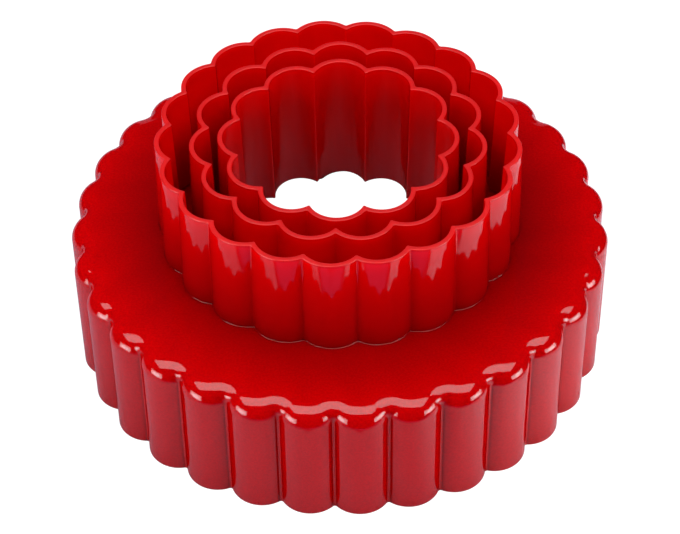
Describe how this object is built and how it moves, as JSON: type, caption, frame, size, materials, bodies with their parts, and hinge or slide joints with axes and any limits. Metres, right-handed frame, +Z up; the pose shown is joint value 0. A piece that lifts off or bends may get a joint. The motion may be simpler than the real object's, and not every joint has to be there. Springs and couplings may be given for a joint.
{
  "type": "nesting biscuit cutter set",
  "caption": "Nesting set of round fluted biscuit cutters in glossy red plastic, each one a wide skirt, a flat plate and a narrower open collar that cuts as well.",
  "frame": {"origin": "middle of the circle that the skirts stand on", "axes": "+Z up through the collars, -Y towards the pictured front"},
  "size_m": [0.0979, 0.0979, 0.0454],
  "materials": {
    "red_plastic": "glossy moulded, polished outside, slightly satin on the rims"
  },
  "bodies": {
    "inner_cutter": {"inner_cutter": "red_plastic"},
    "middle_cutter": {"middle_cutter": "red_plastic"},
    "outer_cutter": {"outer_cutter": "red_plastic"}
  },
  "joints": [
    {"name": "middle_lift", "type": "slide", "parent": "inner_cutter", "child": "middle_cutter", "axis": [0, 0, 1], "range_m": [0, 0.05]},
    {"name": "outer_lift", "type": "slide", "parent": "middle_cutter", "child": "outer_cutter", "axis": [0, 0, 1], "range_m": [0, 0.05]}
  ]
}
